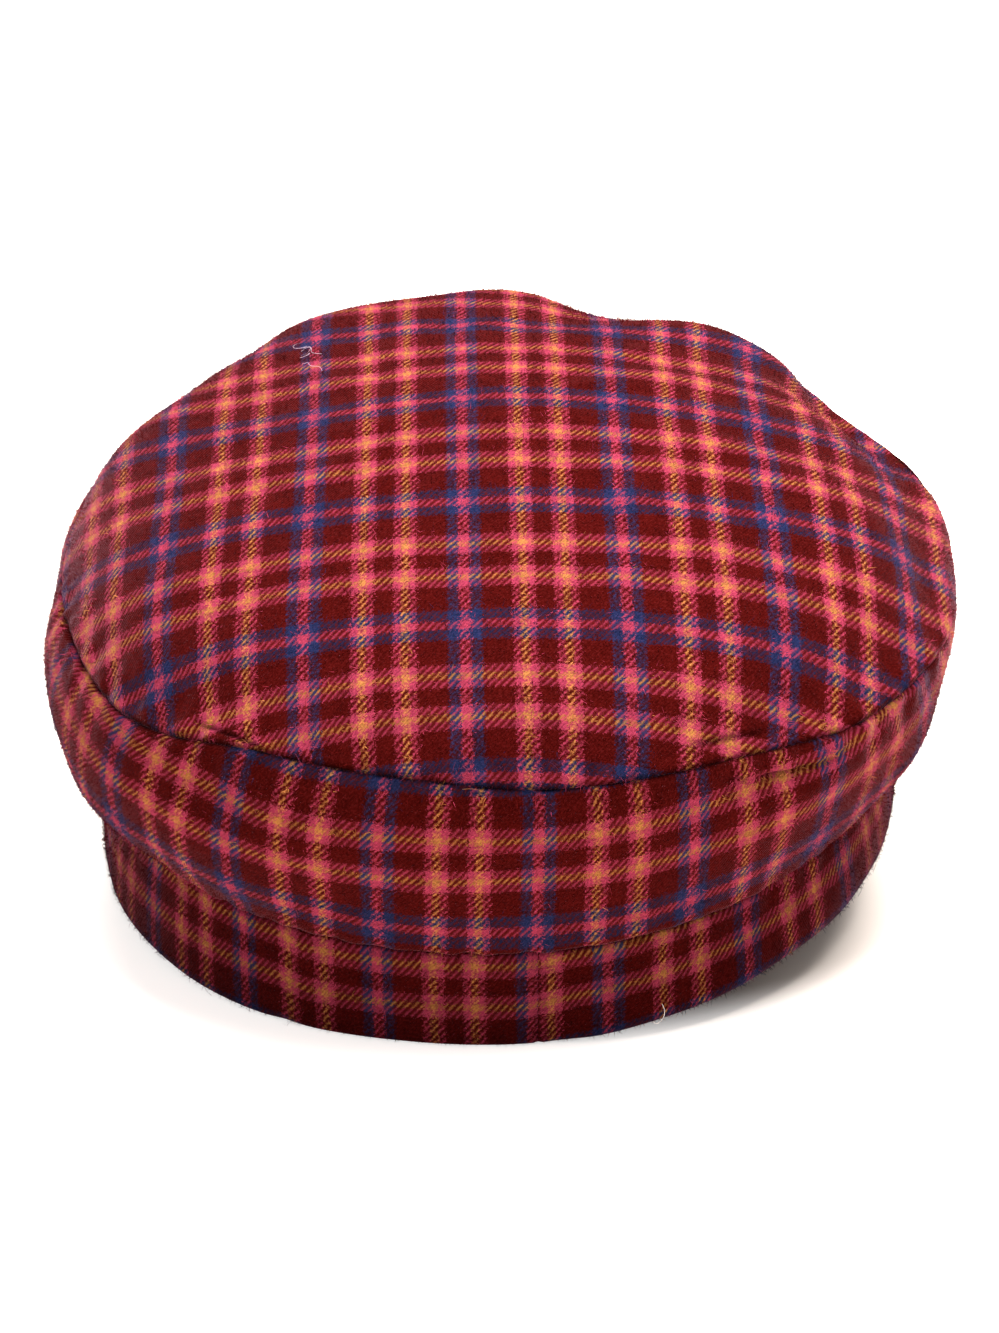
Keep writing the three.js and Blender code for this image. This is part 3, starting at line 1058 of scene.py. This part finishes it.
strays = {
    "count": {"tip": 420, "side": 260, "band": 130},
    "length": (1.8, 4.2),
    "thickness": 0.035,
    "root": 0.2,
    "bend": (-0.5, 0.5),
    "rise": (0.35, 1.1),
    "fall": 0.75,
    "steps": (0, 0.25, 0.5, 0.75, 1),
    "seed": 77,
}
lint = {
    "material": "pale_lint",
    "colour": (0.45, 0.30, 0.36, 1),
    "roughness": 0.9,
    "specular": 0.1,
    "thickness": 0.045,
    "curls": [
        {
            "zone": "tip", "bearing": -144.5, "low": 36,
            "path": [(0, 0, -0.2), (1, 2, 0.6), (-0.4, 4, 0.8), (1.6, 6.5, 0.7), (0, 9, 0.3)],
        },
        {
            "zone": "tip", "bearing": -143, "low": 38,
            "path": [(0, 0, -0.2), (-1.6, 1, 0.7), (-2, 3, 1.0), (0, 4.4, 0.7), (1.4, 3, 0.4)],
        },
        {
            "zone": "tip", "bearing": -141, "low": 42,
            "path": [(0, 0, -0.2), (2, 1.5, 0.8), (0.6, 3.6, 1.2), (-1.2, 2, 0.8), (0, 0.6, 0.3)],
        },
        {
            "zone": "tip", "bearing": -138, "low": 45,
            "path": [(0, 0, -0.2), (-0.8, 3, 0.7), (0.8, 5.5, 0.9), (-0.6, 8, 0.5), (0.4, 10, 0.2)],
        },
        {
            "zone": "tip", "bearing": -146, "low": 33,
            "path": [(0, 0, -0.2), (2, 0.4, 0.6), (3.4, 2, 0.6), (2.4, 4, 0.5), (0.6, 4, 0.2)],
        },
    ],
}
threadEnd = {
    "material": "sewing_thread",
    "colour": (0.72, 0.66, 0.62, 1),
    "roughness": 0.9,
    "specular": 0.1,
    "thickness": 0.075,
    "curls": [
        {
            "zone": "band", "bearing": 14.7, "low": 5.2,
            "path": [
                (0, 0, -0.4), (0.3, -1.6, 0.8), (0, -3.2, 1.0),
                (-0.7, -4.6, 0.7), (-2, -5.2, 0.6), (-2.5, -4.2, 0.5),
            ],
        },
    ],
}


def localPath(spot):
    zone = zones[spot["zone"]]
    column = round(spot["bearing"] * columns / 360) % columns
    row = int(np.argmin(np.abs(zone["low"][:, column] - spot["low"])))
    grid, out = zone["outer"], zone["normals"][row, column]
    right = grid[row, (column + 1) % columns] - grid[row, column]
    right = right / np.linalg.norm(right)
    up = np.cross(right, out)
    up *= np.sign(np.dot(up, grid[min(row + 1, len(grid) - 1), column] - grid[row, column]) or 1)
    return grid[row, column] + np.array(spot["path"]) @ np.stack([right, up, out]) * mm


def rounded(paths):
    # Two rounds of corner cutting, ends kept
    for _ in range(2):
        first, second = paths[:, :-1], paths[:, 1:]
        cut = np.stack([first * 0.75 + second * 0.25, first * 0.25 + second * 0.75], 2)
        cut = cut.reshape(len(paths), -1, 3)
        paths = np.concatenate([paths[:, :1], cut, paths[:, -1:]], 1)
    return paths


def makeStrands(name, paths, thickness, flats, material):
    # Three-sided strands along the paths
    paths = rounded(paths)
    count, points = paths.shape[:2]
    ahead = np.gradient(paths, axis=1)
    ahead /= np.linalg.norm(ahead, axis=-1, keepdims=True)
    aside = np.cross(ahead, offStrands)
    aside /= np.linalg.norm(aside, axis=-1, keepdims=True)
    over = np.cross(ahead, aside)
    turns = np.radians([0, 120, 240])[:, None]
    away = aside[:, :, None] * np.cos(turns) + over[:, :, None] * np.sin(turns)
    rings = paths[:, :, None] + away * thickness * mm
    rings[..., 2] = rings[..., 2].clip(overFloor)
    quads = [
        [3 * p + s, 3 * p + (s + 1) % 3, 3 * p + 3 + (s + 1) % 3, 3 * p + 3 + s]
        for p in range(points - 1) for s in range(3)
    ]
    one = quads + [[2, 1, 0], [3 * points - 3, 3 * points - 2, 3 * points - 1]]
    faces = [[corner + strand * 3 * points for corner in face] for strand in range(count) for face in one]
    corners = sum(len(face) for face in one)
    hollow = np.zeros(count * points * 3)
    piece = looseMesh(name, rings, faces, np.repeat(flats, corners, axis=0), hollow)
    dress(piece, material)


def makeStrays():
    chance = np.random.default_rng(strays["seed"])
    paths, flats = [], []
    for name, count in strays["count"].items():
        zone = zones[name]
        rows = chance.integers(1, zone["rows"] - 2, count)
        around = chance.integers(0, columns, count)
        out = zone["normals"][rows, around]
        root = zone["outer"][rows, around] - out * strays["root"] * mm
        heading = np.cross(out, chance.normal(size=(count, 3)))
        heading /= np.linalg.norm(heading, axis=1, keepdims=True)
        aside = np.cross(out, heading) * chance.uniform(*strays["bend"], (count, 1))
        rise = out * chance.uniform(*strays["rise"], (count, 1))
        long = chance.uniform(*strays["length"], (count, 1)) * mm
        ways = [heading * t + aside * t * t + rise * (t - strays["fall"] * t * t) for t in strays["steps"]]
        paths.append(np.stack([root + way * long for way in ways], 1))
        flats.append(zone["flat"][rows, around])
    paths, flats = np.concatenate(paths), np.concatenate(flats)
    makeStrands("stray_fibres", paths, strays["thickness"], flats, woolTop)


def makeLoose(name, fibre):
    material = bpy.data.materials.new(fibre["material"])
    material.use_nodes = True
    shader = material.node_tree.nodes["Principled BSDF"]
    shader.inputs["Base Color"].default_value = fibre["colour"]
    shader.inputs["Roughness"].default_value = fibre["roughness"]
    shader.inputs["Specular IOR Level"].default_value = fibre["specular"]
    paths = np.array([localPath(curl) for curl in fibre["curls"]])
    makeStrands(name, paths, fibre["thickness"], np.zeros((len(paths), 2)), material)


makeTip()
makeSides()
makeBand()
makePeak()
print("cap made")
makeFuzz("tip", woolFuzz)
makeFuzz("side", woolFuzz)
makeFuzz("band", woolBand)
makeStrays()
makeLoose("lint", lint)
makeLoose("thread_end", threadEnd)
print("fuzz made")


# Floor and light

studio = {
    "floorSize": 8,
    "floorColour": (0.86, 0.76, 0.68, 1),
    "floorRoughness": 0.9,
    "glow": 0.68,  # the floor glows white from just outside the cap: painted light, no lamp
    "glowPlace": (-0.019, 0.002, 0),
    "glowFrom": 0.09,
    "glowFull": 0.113,
    "world": 0.6,
    "lights": [
        {"name": "overhead", "place": (-0.28, -0.15, 1.8), "size": 1.4, "power": 160},
    ],
}


def addStudio():
    bpy.ops.mesh.primitive_plane_add(size=studio["floorSize"])
    floor = bpy.context.object
    floor.name = "floor"
    paint = bpy.data.materials.new("floor_paint")
    paint.use_nodes = True
    shader = paint.node_tree.nodes["Principled BSDF"]
    shader.inputs["Base Color"].default_value = studio["floorColour"]
    shader.inputs["Roughness"].default_value = studio["floorRoughness"]
    shader.inputs["Emission Strength"].default_value = studio["glow"]
    # A glowing floor, dark close round the cap and full white farther out: painted light
    spot = Wire(paint.node_tree).node("TexCoord", {}, {}, "Object")
    away = spot.node("VectorMath", {"operation": "DISTANCE"}, {0: spot, 1: studio["glowPlace"]}, "Value")
    glow = (away - studio["glowFrom"]) / (studio["glowFull"] - studio["glowFrom"])
    glowMask = glow.node("MapRange", {"interpolation_type": "SMOOTHSTEP"}, {0: glow})
    paint.node_tree.links.new(glowMask.socket, shader.inputs["Emission Color"])
    floor.data.materials.append(paint)
    world = bpy.data.worlds.new("studio")
    scene.world = world
    world.use_nodes = True
    sky = world.node_tree.nodes["Background"]
    sky.inputs["Color"].default_value = (1, 1, 1, 1)
    sky.inputs["Strength"].default_value = studio["world"]
    for light in studio["lights"]:
        lamp = bpy.data.lights.new(light["name"], "AREA")
        lamp.size = light["size"]
        lamp.energy = light["power"]
        lampObject = bpy.data.objects.new(light["name"], lamp)
        lampObject.location = light["place"]
        lampObject.rotation_euler = (-Vector(light["place"])).to_track_quat("-Z", "Y").to_euler()
        scene.collection.objects.link(lampObject)
    scene.view_settings.view_transform = "Standard"


addStudio()
print("studio made")
